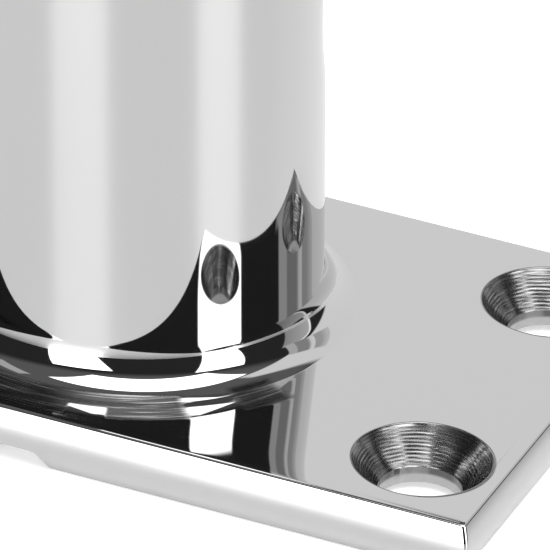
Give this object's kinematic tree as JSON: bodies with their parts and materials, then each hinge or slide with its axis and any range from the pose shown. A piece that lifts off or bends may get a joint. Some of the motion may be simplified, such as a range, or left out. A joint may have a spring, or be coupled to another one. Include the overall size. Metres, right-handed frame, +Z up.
{
  "type": "tube base flange",
  "caption": "Polished rectangular base flange with a slightly leaning tube socket, countersunk screw holes, a drain notch and a side grub screw.",
  "frame": {"origin": "centre of the plate's underside, below the foot of the socket", "axes": "+Z up along the plate's normal, +X along the plate's long side, the socket leaning toward -X, the drain notch in the -Y edge"},
  "size_m": [0.0744, 0.0428, 0.0457],
  "materials": {
    "polished_steel": "mirror polished stainless casting",
    "screw_steel": "turned stainless"
  },
  "bodies": {
    "root": {"base_flange": "polished_steel", "grub_screw": "screw_steel"}
  },
  "joints": []
}
